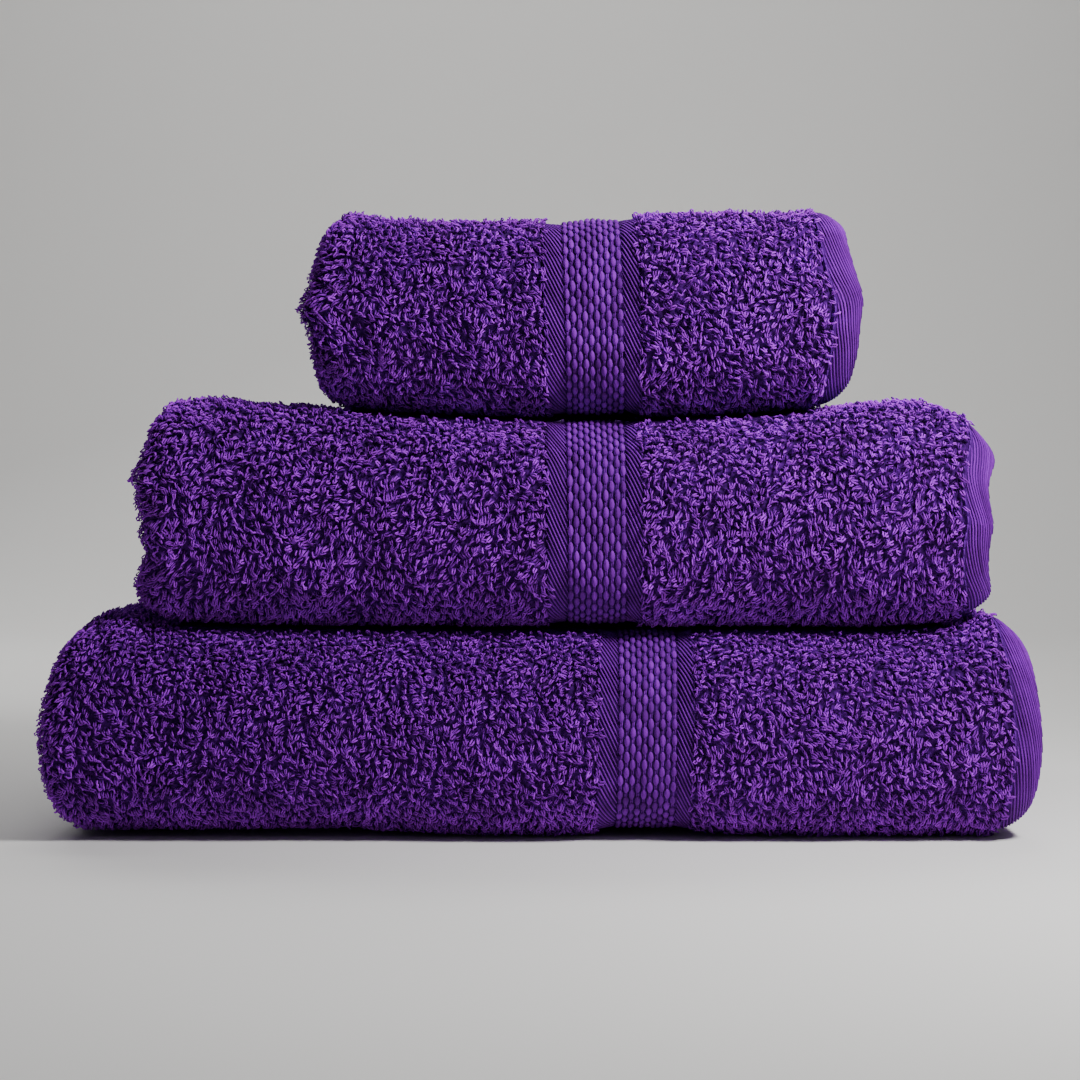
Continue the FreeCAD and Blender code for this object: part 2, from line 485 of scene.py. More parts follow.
def read_points(mesh: bpy.types.Mesh) -> Grid:
    """The mesh's vertex positions, one row each."""
    points = np.empty(len(mesh.vertices) * 3)
    mesh.vertices.foreach_get("co", points)
    return points.reshape(-1, 3)


def write_points(mesh: bpy.types.Mesh, points: Grid) -> None:
    """Moves the mesh's vertices."""
    mesh.vertices.foreach_set("co", points.astype(np.float32).ravel())
    mesh.update()


def mark(mesh: bpy.types.Mesh, name: str, values: Grid) -> None:
    """Stores one value for each vertex."""
    stored = mesh.attributes.new(name, "FLOAT", "POINT")
    stored.data.foreach_set("value", values.astype(np.float32))


def spin(shape: Shape, turn: float, axis: str) -> None:
    """Turns a shape about an axis through the origin."""
    bmesh.ops.rotate(shape, verts=shape.verts[:], matrix=Matrix.Rotation(turn, 3, axis))


def new_piece(name: str, shape: Shape) -> Piece:
    """Puts a bmesh in the scene as an object, with smooth shading."""
    mesh = bpy.data.meshes.new(name)
    shape.to_mesh(mesh)
    shape.free()
    mesh.shade_smooth()
    piece = bpy.data.objects.new(name, mesh)
    bpy.context.scene.collection.objects.link(piece)
    return piece


def flat_grid(across: Grid, along: Grid) -> Shape:
    """A flat grid on the given u and v lines."""
    shape = bmesh.new()
    columns, rows = len(across) - 1, len(along) - 1
    bmesh.ops.create_grid(shape, x_segments=columns, y_segments=rows, size=0.5)
    for point in shape.verts:
        point.co.x = across[round((point.co.x + 0.5) * columns)]
        point.co.y = along[round((point.co.y + 0.5) * rows)]
    return shape


def slab(name: str, across: Grid, along: Grid, relief: Relief) -> Piece:
    """A closed flat slab of cloth.

    Args:
        name: The object's name.
        across: Its u lines.
        along: Its v lines.
        relief: Gives the lower and upper w at each (u, v).

    Returns:
        The slab, not yet folded.
    """
    shape = flat_grid(across, along)
    bmesh.ops.solidify(shape, geom=shape.faces[:], thickness=1.0)
    bmesh.ops.recalc_face_normals(shape, faces=shape.faces[:])
    piece = new_piece(name, shape)
    flat = read_points(piece.data)
    upper = flat[:, 2] > flat[:, 2].mean()
    low, high = relief(flat[:, 0], flat[:, 1])
    flat[:, 2] = np.where(upper, high, low)
    write_points(piece.data, flat)
    return piece


def tube(sides: int, stations: Sequence[float], radius: float) -> Shape:
    """A closed straight tube along Z, with a ring at each station."""
    shape = bmesh.new()
    bmesh.ops.create_cone(
        shape, cap_ends=True, segments=sides, radius1=radius, radius2=radius, depth=1.0
    )
    long_edges = [edge for edge in shape.edges if abs(edge.verts[0].co.z - edge.verts[1].co.z) > 0.5]
    count = len(stations) - 1
    if count > 1:
        bmesh.ops.subdivide_edges(shape, edges=long_edges, cuts=count - 1, use_grid_fill=True)
    for point in shape.verts:
        point.co.z = stations[round((point.co.z + 0.5) * count)]
    return shape


class Grade(Enum):
    """How finely a stretch of pile is made."""

    FINE = (0.00168, 1.04, 1.0, True)
    PLAIN = (0.00268, 1.50, 0.72, False)
    PRESSED = (0.00410, 2.00, 0.40, False)

    def __init__(self, spacing: float, size: float, height: float, detailed: bool) -> None:
        """Spacing is the least distance between loops, size scales each, and height flattens it."""
        self.spacing = spacing
        self.size = size
        self.height = height
        self.detailed = detailed


def preset(node: bpy.types.Node, values: dict[str, object]) -> None:
    """Sets the values of a node's inputs, by their names."""
    for name, value in values.items():
        node.inputs[name].default_value = value


def add_node(
    tree: Tree, kind: str, values: dict[str, object] | None = None, **settings: object
) -> bpy.types.Node:
    """Adds a node.

    Args:
        tree: Where it goes.
        kind: Its type.
        values: What its inputs are set to, by their names.
        settings: Its properties.

    Returns:
        The node.
    """
    node = tree.nodes.new(kind)
    for key, value in settings.items():
        setattr(node, key, value)
    preset(node, values or {})
    return node


def wire(tree: Tree, source: Socket, *targets: Socket) -> None:
    """Links one socket to others."""
    for target in targets:
        tree.links.new(source, target)


def maths(
    tree: Tree, operation: str, *values: Socket | float
) -> Socket:
    """Adds a maths node.

    Args:
        tree: Where it goes.
        operation: What it does.
        values: Its inputs, each a socket to link or a number.

    Returns:
        Its output.
    """
    node = add_node(tree, "ShaderNodeMath", operation=operation)
    for socket, value in zip(node.inputs, values):
        if isinstance(value, Socket):
            wire(tree, value, socket)
        else:
            socket.default_value = value
    return node.outputs[0]


def live_input(node: bpy.types.Node, name: str) -> Socket:
    """The input of that name that the node's settings leave enabled."""
    return next(socket for socket in node.inputs if socket.name == name and socket.enabled)


def live_output(node: bpy.types.Node) -> Socket:
    """The first output that the node's settings leave enabled."""
    return next(socket for socket in node.outputs if socket.enabled)


@dataclass(frozen=True)
class LoopSizes:
    """Sizes of one loop of pile."""

    yarn: float = 0.00070
    leg: float = 0.0028
    half_gap: float = 0.00050
    sides: int = 3


class Planter:
    """Sets many copies of small shapes on flat cloth, by geometry nodes."""

    def __init__(self) -> None:
        """Makes the node groups."""
        self.scatter = self.build(True)
        self.rows = self.build(False)

    def build(self, scattered: bool) -> Tree:
        """Makes a group that copies shapes to scattered points, or to the mesh's own vertices.

        Args:
            scattered: Whether points are scattered over the faces.

        Returns:
            The node group.
        """
        tree = bpy.data.node_groups.new("set_pile" if scattered else "set_rows", "GeometryNodeTree")
        face = tree.interface
        face.new_socket("Geometry", in_out="OUTPUT", socket_type="NodeSocketGeometry")
        face.new_socket("Geometry", in_out="INPUT", socket_type="NodeSocketGeometry")
        face.new_socket("Shapes", in_out="INPUT", socket_type="NodeSocketCollection")
        for name in ("Spacing", "Size", "Vary", "Flow", "Drift", "Stray", "Lean", "Lean Vary"):
            face.new_socket(name, in_out="INPUT", socket_type="NodeSocketFloat")
        enter = add_node(tree, "NodeGroupInput")
        given = enter.outputs

        if scattered:
            points = add_node(tree, "GeometryNodeDistributePointsOnFaces", distribute_method="POISSON")
            points.inputs["Density Max"].default_value = MOST_LOOPS
            wire(tree, given["Spacing"], points.inputs["Distance Min"])
        else:
            points = add_node(tree, "GeometryNodeMeshToPoints")
        wire(tree, given["Geometry"], points.inputs["Mesh"])

        separate = {"Separate Children": True, "Reset Children": True}
        shapes = add_node(tree, "GeometryNodeCollectionInfo", separate)
        wire(tree, given["Shapes"], shapes.inputs["Collection"])

        yaw = maths(tree, "ADD", self.flow(tree, given), self.random(tree, given, "Stray", 1))
        lean = maths(tree, "ADD", given["Lean"], self.random(tree, given, "Lean Vary", 2))
        roll = self.random(tree, given, "Stray", 3)
        turn = add_node(tree, "ShaderNodeCombineXYZ")
        wire(tree, lean, turn.inputs["X"])
        wire(tree, yaw, turn.inputs["Z"])
        size = maths(tree, "ADD", given["Size"], self.random(tree, given, "Vary", 4))

        copies = add_node(tree, "GeometryNodeInstanceOnPoints", {"Pick Instance": True})
        wire(tree, points.outputs[0], copies.inputs["Points"])
        wire(tree, shapes.outputs[0], copies.inputs["Instance"])
        wire(tree, turn.outputs[0], copies.inputs["Rotation"])
        wire(tree, size, copies.inputs["Scale"])

        rolled = add_node(tree, "GeometryNodeRotateInstances", {"Local Space": True})
        own_turn = add_node(tree, "ShaderNodeCombineXYZ")
        wire(tree, roll, own_turn.inputs["Z"])
        wire(tree, copies.outputs[0], rolled.inputs["Instances"])
        wire(tree, own_turn.outputs[0], rolled.inputs["Rotation"])

        tint = add_node(tree, "FunctionNodeRandomValue", data_type="FLOAT")
        marked = add_node(tree, "GeometryNodeStoreNamedAttribute", data_type="FLOAT", domain="INSTANCE")
        marked.inputs["Name"].default_value = "tint"
        wire(tree, live_output(tint), live_input(marked, "Value"))
        wire(tree, rolled.outputs[0], marked.inputs["Geometry"])

        real = add_node(tree, "GeometryNodeRealizeInstances")
        leave = add_node(tree, "NodeGroupOutput")
        wire(tree, marked.outputs[0], real.inputs["Geometry"])
        wire(tree, real.outputs[0], leave.inputs[0])
        return tree

    @staticmethod
    def random(
        tree: Tree, given: bpy.types.NodeOutputs, reach: str, seed: int
    ) -> Socket:
        """A random value for each copy, between minus and plus the reach."""
        share = add_node(tree, "FunctionNodeRandomValue", data_type="FLOAT")
        live_input(share, "Min").default_value = -1.0
        live_input(share, "Seed").default_value = seed
        return maths(tree, "MULTIPLY", live_output(share), given[reach])

    @staticmethod
    def flow(tree: Tree, given: bpy.types.NodeOutputs) -> Socket:
        """The heading of the brushed pile, which drifts over the cloth."""
        place = add_node(tree, "GeometryNodeInputPosition")
        drift = add_node(tree, "ShaderNodeTexNoise", {"Scale": 38.0, "Detail": 1.5})
        wire(tree, place.outputs[0], drift.inputs["Vector"])
        ends = {"From Min": 0.3, "From Max": 0.7, "To Min": -1.0, "To Max": 1.0}
        spread = add_node(tree, "ShaderNodeMapRange", ends, clamp=False)
        wire(tree, drift.outputs[0], spread.inputs["Value"])
        return maths(tree, "MULTIPLY_ADD", spread.outputs[0], given["Drift"], given["Flow"])

    def plant(
        self, bed: Piece, shapes: bpy.types.Collection, scattered: bool, **values: float
    ) -> Piece:
        """Replaces a flat bed with the copies that stand on it.

        Args:
            bed: A flat mesh of faces, or of single vertices.
            shapes: What is copied.
            scattered: Whether the copies are scattered over the faces.
            values: The node group's inputs.

        Returns:
            The copies, as one flat piece.
        """
        tree = self.scatter if scattered else self.rows
        modifier = bed.modifiers.new("plant", "NODES")
        modifier.node_group = tree
        for item in tree.interface.items_tree:
            if item.in_out == "INPUT" and item.name == "Shapes":
                modifier[item.identifier] = shapes
            elif item.in_out == "INPUT" and item.name in values:
                modifier[item.identifier] = values[item.name]
        graph = bpy.context.evaluated_depsgraph_get()
        mesh = bpy.data.meshes.new_from_object(bed.evaluated_get(graph), depsgraph=graph)
        mesh.materials.clear()
        name, old = bed.name, bed.data
        bed.modifiers.clear()
        bed.data = mesh
        bpy.data.meshes.remove(old)
        mesh.name = name
        mesh.shade_smooth()
        return bed


class Shapes:
    """The small shapes that are repeated over the cloth."""

    def __init__(self, loop: LoopSizes) -> None:
        """Makes each shape once, outside the scene."""
        curls = (  # droop in degrees, twist in radians, and sway
            (70, 0.3, 0.0), (95, 1.1, 0.18), (115, -0.9, -0.22),
            (85, 2.2, -0.1), (140, -1.7, 0.12), (105, 0.5, -0.3),
        )
        self.loops = {
            grade: self.store(
                f"loops_{grade.name.lower()}",
                [
                    self.hairpin(loop, grade, math.radians(droop), twist, sway)
                    for droop, twist, sway in curls
                ],
            )
            for grade in Grade
        }
        self.grains = self.store("grains", [self.grain()])
        self.stitches = self.store("stitches", [self.stitch()])

    @staticmethod
    def store(name: str, shapes: Sequence[Shape]) -> bpy.types.Collection:
        """Keeps shapes in a collection of their own, which isn't shown."""
        kept = bpy.data.collections.new(name)
        for number, shape in enumerate(shapes):
            mesh = bpy.data.meshes.new(f"{name}_{number}")
            shape.to_mesh(mesh)
            shape.free()
            mesh.shade_smooth()
            kept.objects.link(bpy.data.objects.new(mesh.name, mesh))
        return kept

    @staticmethod
    def hairpin(
        sizes: LoopSizes, grade: Grade, droop: float, twist: float, sway: float
    ) -> Shape:
        """A loop of yarn that stands on the cloth and bends over.

        Args:
            sizes: The loop's sizes.
            grade: How finely it is made.
            droop: How far it bends over from its root to its tip, in radians.
            twist: How far it turns on itself, in radians.
            sway: How far its tip moves sideways, as a share of its length.

        Returns:
            The loop.
        """
        arch = math.pi * sizes.half_gap
        leg = sizes.leg
        stations = [0.0, leg, leg + arch, 2 * leg + arch]
        if grade.detailed:
            stations = sorted([*stations, 0.55 * leg, leg + arch / 2, 1.45 * leg + arch])
        shape = tube(sizes.sides, stations, sizes.yarn / 2)
        path = Track(
            (-sizes.half_gap, 0.0),
            math.pi / 2,
            (Stretch(leg), bend(sizes.half_gap, -math.pi), Stretch(leg)),
        )
        length = leg + sizes.half_gap
        spine = Track((0.0, 0.0), math.pi / 2, (bend(length / droop, -droop),))
        for point in shape.verts:
            side, up = path.place(np.array([point.co.z]), np.array([-point.co.x]))
            share = float(up[0]) / length
            turned = Matrix.Rotation(twist * share, 2) @ Vector((float(side[0]), point.co.y))
            forward, height = spine.place(up, np.array([-turned.y]))
            point.co = (turned.x + sway * length * share**2, float(forward[0]), float(height[0]))
        bmesh.ops.recalc_face_normals(shape, faces=shape.faces[:])
        return shape

    @staticmethod
    def grain() -> Shape:
        """One long grain of the border's weave, lying along v."""
        shape = bmesh.new()
        bmesh.ops.create_uvsphere(shape, u_segments=7, v_segments=6, radius=1.0)
        spin(shape, math.pi / 2, "X")
        for point in shape.verts:
            point.co.x *= 1.0 + 0.14 * (1.0 - point.co.y**2)
        bmesh.ops.scale(shape, verts=shape.verts[:], vec=Vector((0.00108, 0.00245, 0.00105)))
        return shape

    @staticmethod
    def stitch() -> Shape:
        """One stitch of sewing thread, lying along v, its ends dipping into the cloth."""
        shape = tube(5, [-0.0016, -0.0010, 0.0, 0.0010, 0.0016], 0.00030)
        spin(shape, math.pi / 2, "X")
        for point in shape.verts:
            point.co.z -= 0.0005 * (point.co.y / 0.0016) ** 4
        return shape


class ShaderParts:
    """Node groups that the cotton finishes share."""

    def __init__(self) -> None:
        """Builds each group once."""
        self.shade = self.build_shade()
        self.fuzz = self.build_fuzz()
        self.threads = self.build_threads()

    @staticmethod
    def start(
        name: str, inputs: Sequence[tuple[str, str, object]], outputs: Sequence[tuple[str, str]]
    ) -> tuple[Tree, bpy.types.Node, bpy.types.Node]:
        """Makes an empty shader group.

        Args:
            name: The group's name.
            inputs: Name, kind and default of each input.
            outputs: Name and kind of each output.

        Returns:
            The group, its input node and its output node.
        """
        tree = bpy.data.node_groups.new(name, "ShaderNodeTree")
        for label, kind, value in inputs:
            socket = tree.interface.new_socket(label, in_out="INPUT", socket_type=f"NodeSocket{kind}")
            socket.default_value = value
        for label, kind in outputs:
            tree.interface.new_socket(label, in_out="OUTPUT", socket_type=f"NodeSocket{kind}")
        return tree, add_node(tree, "NodeGroupInput"), add_node(tree, "NodeGroupOutput")

    def build_shade(self) -> Tree:
        """Dyed cotton with painted shade, darker where Rise is low: at its roots and between its threads
        and tufts. It varies from yarn to yarn with Tint, and from patch to patch.
        """
        inputs = (
            ("Deep", "Color", (0.01, 0.0, 0.03, 1.0)),
            ("Lit", "Color", (0.2, 0.05, 0.5, 1.0)),
            ("Rise", "Float", 1.0),
            ("Tint", "Float", 0.5),
        )
        tree, enter, leave = self.start("dyed_cotton", inputs, (("Color", "Color"),))
        # Painted shade: Rise runs the colour from the shaded dye to the lit dye.
        mix = add_node(tree, "ShaderNodeMix", data_type="RGBA")
        wire(tree, enter.outputs["Rise"], mix.inputs[0])
        wire(tree, enter.outputs["Deep"], mix.inputs[6])
        wire(tree, enter.outputs["Lit"], mix.inputs[7])
        place = add_node(tree, "ShaderNodeTexCoord")
        patch = add_node(tree, "ShaderNodeTexNoise", {"Scale": 70.0, "Detail": 3.0})
        wire(tree, place.outputs["Object"], patch.inputs["Vector"])
        by_patch = maths(tree, "MULTIPLY_ADD", patch.outputs[0], 1.10, 0.14)
        by_yarn = maths(tree, "MULTIPLY_ADD", enter.outputs["Tint"], 0.62, by_patch)
        tone = add_node(tree, "ShaderNodeHueSaturation")
        wire(tree, by_yarn, tone.inputs["Value"])
        wire(tree, mix.outputs[2], tone.inputs["Color"])
        wire(tree, tone.outputs[0], leave.inputs["Color"])
        return tree

    def build_fuzz(self) -> Tree:
        """Short fibres that stand off spun yarn, as a height."""
        inputs = (("Fineness", "Float", 2200.0),)
        tree, enter, leave = self.start("cotton_fibres", inputs, (("Height", "Float"),))
        place = add_node(tree, "ShaderNodeTexCoord")
        tangle = {"Detail": 4.0, "Roughness": 0.7, "Distortion": 0.6}
        fibres = add_node(tree, "ShaderNodeTexNoise", tangle)
        wire(tree, place.outputs["Object"], fibres.inputs["Vector"])
        wire(tree, enter.outputs["Fineness"], fibres.inputs["Scale"])
        wire(tree, fibres.outputs[0], leave.inputs["Height"])
        return tree

    def build_threads(self) -> Tree:
        """Parallel threads that follow the weave, as a height and as a mask that is 0 between them; the
        mask sets the painted shade between the threads.
        """
        inputs = (("Pitch", "Float", 0.0005), ("Angle", "Float", 0.0))
        tree, enter, leave = self.start("weave_threads", inputs, (("Height", "Float"), ("Mask", "Float")))
        woven = add_node(tree, "ShaderNodeUVMap", uv_map="weave")
        turn = add_node(tree, "ShaderNodeVectorRotate", rotation_type="Z_AXIS")
        wire(tree, woven.outputs[0], turn.inputs["Vector"])
        wire(tree, enter.outputs["Angle"], turn.inputs["Angle"])
        split = add_node(tree, "ShaderNodeSeparateXYZ")
        wire(tree, turn.outputs[0], split.inputs[0])
        counted = maths(tree, "DIVIDE", split.outputs["X"], enter.outputs["Pitch"])
        wave = maths(tree, "MULTIPLY", maths(tree, "PINGPONG", counted, 0.5), 2.0)
        rounded = maths(tree, "POWER", wave, 0.6)
        wire(tree, rounded, leave.inputs["Height"])
        soft = add_node(tree, "ShaderNodeMapRange", {"To Min": 0.35})
        wire(tree, rounded, soft.inputs["Value"])
        wire(tree, soft.outputs[0], leave.inputs["Mask"])
        return tree


@dataclass(frozen=True)
class CottonFinish:
    """A finish of dyed cotton, with painted shade where it lies low."""

    name: str
    deep: tuple[float, float, float]  # the dye darkened as painted shade among the roots and between the threads
    lit: tuple[float, float, float]  # the dye at the tips and on the threads, where the painted shade lifts
    roughness: float
    sheen: float
    fibre_bump: float  # depth of the fibres, in metres
    thread_pitch: float = 0.0  # 0 where no threads are drawn
    thread_angle: float = 0.0
    thread_bump: float = 0.0
    reads_rise: bool = False  # whether the piece has a rise attribute, which sets its painted shade
    tufted: bool = False  # whether it shows the roots of the pile, with painted shade between its tufts

    def make(self, parts: ShaderParts) -> Material:
        """Builds the material.

        Args:
            parts: The shared node groups.

        Returns:
            The material.
        """
        material = bpy.data.materials.new(self.name)
        material.use_nodes = True
        tree = material.node_tree
        surface = tree.nodes["Principled BSDF"]
        preset(surface, {
            "Roughness": self.roughness,
            "Specular IOR Level": 0.12,
            "Sheen Weight": self.sheen,
            "Sheen Roughness": 0.42,
            "Sheen Tint": SHEEN_TINT,
        })

        # Painted shade: the first colour is the dye darkened as shade, the second the dye where it lies
        # high.
        dye_and_shade = {"Deep": (*self.deep, 1.0), "Lit": (*self.lit, 1.0)}
        shade = add_node(tree, "ShaderNodeGroup", dye_and_shade, node_tree=parts.shade)
        tint = add_node(tree, "ShaderNodeAttribute", attribute_name="tint")
        wire(tree, tint.outputs["Fac"], shade.inputs["Tint"])
        wire(tree, shade.outputs["Color"], surface.inputs["Base Color"])
        rise = self.rise(tree, parts)
        if rise is not None:
            wire(tree, rise, shade.inputs["Rise"])

        fuzz = add_node(tree, "ShaderNodeGroup", node_tree=parts.fuzz)
        fibres = add_node(tree, "ShaderNodeBump", {"Distance": self.fibre_bump})
        wire(tree, fuzz.outputs["Height"], fibres.inputs["Height"])
        wire(tree, fibres.outputs["Normal"], surface.inputs["Normal"])
        if rise is not None and not self.reads_rise:
            raised = add_node(tree, "ShaderNodeBump", {"Distance": self.thread_bump})
            wire(tree, rise, raised.inputs["Height"])
            wire(tree, raised.outputs["Normal"], fibres.inputs["Normal"])
        return material

    def rise(self, tree: Tree, parts: ShaderParts) -> Socket | None:
        """What lifts the painted shade off the cotton: the pile's own height, its threads or its tufts.
        """
        if self.reads_rise:
            return add_node(tree, "ShaderNodeAttribute", attribute_name="rise").outputs["Fac"]
        if self.tufted:
            place = add_node(tree, "ShaderNodeTexCoord")
            tufts = add_node(tree, "ShaderNodeTexVoronoi", {"Scale": 620.0}, feature="SMOOTH_F1")
            wire(tree, place.outputs["Object"], tufts.inputs["Vector"])
            crown = add_node(tree, "ShaderNodeMapRange", {"From Max": 0.7, "To Min": 1.0, "To Max": 0.0})
            wire(tree, tufts.outputs["Distance"], crown.inputs["Value"])
            return crown.outputs[0]
        if self.thread_pitch > 0.0:
            weave = {"Pitch": self.thread_pitch, "Angle": self.thread_angle}
            threads = add_node(tree, "ShaderNodeGroup", weave, node_tree=parts.threads)
            return threads.outputs["Mask"]
        return None


class Wardrobe:
    """The finishes, made once and shared by the three towels."""

    def __init__(self) -> None:
        """Makes every material."""
        parts = ShaderParts()
        # Painted shade: the first colour of each finish is its dye darkened as the shade among roots,
        # threads and tufts.
        deep = (0.070, 0.0, 0.205)
        lit = (0.320, 0.022, 0.600)
        self.pile = CottonFinish(
            "looped_pile", deep, lit,
            roughness=0.85, sheen=0.14, fibre_bump=0.00010, reads_rise=True
        ).make(parts)
        # Painted shade: the ground among the roots is dyed darker than the loops, and darker still
        # between its tufts.
        self.ground = CottonFinish(
            "pile_roots", (0.022, 0.0, 0.070), (0.125, 0.003, 0.285),
            roughness=0.92, sheen=0.05, fibre_bump=0.0002,
            thread_bump=0.0012, tufted=True,
        ).make(parts)
        self.grain = CottonFinish(
            "grain_weave", (0.055, 0.001, 0.165), (0.215, 0.014, 0.430),
            roughness=0.78, sheen=0.12, fibre_bump=0.00005,
            thread_pitch=0.00052, thread_bump=0.00024,
        ).make(parts)
        self.twill = CottonFinish(
            "twill", (0.050, 0.001, 0.150), (0.215, 0.013, 0.430),
            roughness=0.78, sheen=0.12, fibre_bump=0.00005,
            thread_pitch=0.00046, thread_angle=math.radians(-65), thread_bump=0.00014,
        ).make(parts)
        # Painted shade: the backing that shows between grains and ribs is dyed much darker than the yarn
        # over it.
        self.backing = CottonFinish(
            "border_backing", (0.012, 0.0, 0.045), (0.055, 0.002, 0.150),
            roughness=0.88, sheen=0.06, fibre_bump=0.00005,
            thread_pitch=0.00060, thread_angle=math.radians(90), thread_bump=0.00016,
        ).make(parts)
        # Painted shade: the hem's face between its ribs is dyed darker than the ribs.
        self.seam = CottonFinish(
            "hem_between_ribs", (0.024, 0.0, 0.080), (0.095, 0.003, 0.230),
            roughness=0.85, sheen=0.08, fibre_bump=0.00005,
            thread_pitch=0.00046, thread_angle=math.radians(-80), thread_bump=0.00014,
        ).make(parts)
        self.thread = CottonFinish(
            "sewing_thread", deep, (0.130, 0.010, 0.300),
            roughness=0.60, sheen=0.12, fibre_bump=0.00004,
            thread_pitch=0.00030, thread_angle=math.radians(35), thread_bump=0.00008,
        ).make(parts)


class Towel:
    """One towel: its ground cloth, pile, borders, hems and stitching."""

    def __init__(
        self, cut: Cut, above: Seat | None, shapes: Shapes, planter: Planter, wardrobe: Wardrobe
    ) -> None:
        """Takes the towel's cut and what it is made with."""
        self.cut = cut
        self.shape = FoldedTowel(cut, above)
        self.shapes = shapes
        self.planter = planter
        self.wardrobe = wardrobe
        self.border = cut.border_offset
        self.panel = self.border + TWILL_NEAR_HEM
        self.panel_end = self.panel + PANEL_WIDTH
        self.field = self.panel_end + TWILL_NEAR_FIELD
        wrap = self.shape.wrap
        self.front = (wrap.span(1)[0] - PAST_CORNER, wrap.span(3)[1] + OVERLAP)
        tucked = SIDE_HEM_WIDTH - TUCK_UNDER
        self.between_sides = (tucked, wrap.length - tucked)
        self.pieces: list[Piece] = []

    def named(self, kind: str) -> str:
        """The full name of one of this towel's pieces or CAD nodes."""
        return f"{self.cut.name}_{kind}"

    def own(
        self, piece: Piece, finish: Material, replaced: Sequence[str] = (),
    ) -> None:
        """Folds a flat piece, dresses it and makes it part of the towel.

        Args:
            piece: The flat piece.
            finish: Its material.
            replaced: Kinds of CAD node that it stands for.
        """
        self.shape.fold(piece)
        piece.data.materials.append(finish)
        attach(piece, self.cut.name)
        if replaced:
            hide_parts(*(self.named(kind) for kind in replaced))
        log.info("%s: %d faces", piece.name, len(piece.data.polygons))
        self.pieces.append(piece)

    def ground(self) -> None:
        """The woven ground of the whole towel, between its hems."""
        cut, shape = self.cut, self.shape
        half = shape.terry / 2
        steps = (
            HEM_LENGTH, HEM_LENGTH + ZONE_STEP, self.border - ZONE_STEP, self.border,
            self.field, self.field + ZONE_STEP,
        )

        def pressed(u: Grid, v: Grid) -> Grid:
            """1 where the cloth is pressed, and 0 elsewhere."""
            return shape.pressed(np.stack((u, v, np.full_like(u, half)), axis=1)).astype(float)

        def relief(u: Grid, v: Grid) -> tuple[Grid, Grid]:
            """The ground's lower and upper w, thin under the borders and hems."""
            end = np.minimum(u, cut.length - u)
            edge = np.minimum(v, shape.wrap.length - v)
            thin = np.interp(end, steps, (1.0, 0.0, 0.0, 1.0, 1.0, 0.0))
            thin = np.maximum(thin, 1.0 - smooth((edge - SIDE_HEM_WIDTH) / ZONE_STEP))
            flat_half = CORE_THICKNESS / 2
            upper = thin * flat_half + (1.0 - thin) * (half - LOOP_SINK + PRESSED_RISE * pressed(u, v))
            lower = thin * flat_half + (1.0 - thin) * (half - 0.0002)
            return -lower, upper

        across = shape.section.lines(
            HEM_LENGTH - TUCK_UNDER, cut.length - HEM_LENGTH + TUCK_UNDER, GROUND_STEP,
            (*steps, *(cut.length - step for step in steps)),
        )
        width = shape.wrap.length
        sides = (SIDE_HEM_WIDTH, SIDE_HEM_WIDTH + ZONE_STEP)
        along = shape.wrap.lines(
            SIDE_HEM_WIDTH - TUCK_UNDER, width - SIDE_HEM_WIDTH + TUCK_UNDER, GROUND_STEP,
            (*sides, *(width - side for side in sides)),
        )
        piece = slab(self.named("cloth"), across, along, relief)
        u, v, _ = read_points(piece.data).T
        # Painted shade: the ground is darkest under the front's fine pile, and paler where the pile is
        # plain or pressed flat.
        fine_u = smooth((shape.section.span(2)[1] - u) / 0.010)
        fine_v = smooth((v - self.front[0]) / 0.010) * smooth((self.front[1] - v) / 0.010)
        paler = 1.4 * (1.0 - fine_u * fine_v) + 0.4 * pressed(u, v)
        mark(piece.data, "tint", paler)
        terry = ("terry_field", "terry_end_outer", "terry_end_inner")
        self.own(piece, self.wardrobe.ground, terry)

    def pile(
        self, label: str, u_span: Span, v_span: Span, grade: Grade,
        crowd: float = 1.0,
    ) -> None:
        """A stretch of looped pile on the outer face.

        Args:
            label: What the stretch is called.
            u_span: From where to where along the towel.
            v_span: From where to where across it.
            grade: How fine the pile is.
            crowd: Closer spacing, where a tight fold will spread the loops.
        """
        across = self.shape.section.lines(*u_span, EMITTER_STEP)
        along = self.shape.wrap.lines(*v_span, EMITTER_STEP)
        grid = flat_grid(across, along)
        face_height = self.shape.terry / 2
        centres = np.array([(*face.calc_center_median().xy, face_height) for face in grid.faces])
        pressed = self.shape.pressed(centres)
        kept = grade is Grade.PRESSED
        lost = [face for face, flattened in zip(grid.faces[:], pressed) if flattened != kept]
        bmesh.ops.delete(grid, geom=lost, context="FACES")
        if not grid.faces:
            grid.free()
            return
        bed = new_piece(self.named(f"pile_{label}"), grid)
        loosened = 1.0
        size = self.cut.pile_size
        piece = self.planter.plant(
            bed, self.shapes.loops[grade], True,
            Spacing=grade.spacing * size * loosened / crowd, Size=grade.size * size, Vary=0.16,
            Flow=self.cut.pile_flow, Drift=self.cut.pile_drift, Stray=0.80,
            Lean=math.radians(-14), **{"Lean Vary": math.radians(30)},
        )
        flat = read_points(piece.data)
        # Painted shade: the loops' colour darkens towards their roots by this rise.
        mark(piece.data, "rise", smooth(0.12 + flat[:, 2] / 0.0019))
        flat[:, 2] = flat[:, 2] * grade.height + face_height - LOOP_SINK
        if kept:
            flat[:, 2] += PRESSED_RISE
        write_points(piece.data, flat)
        self.own(piece, self.wardrobe.pile)

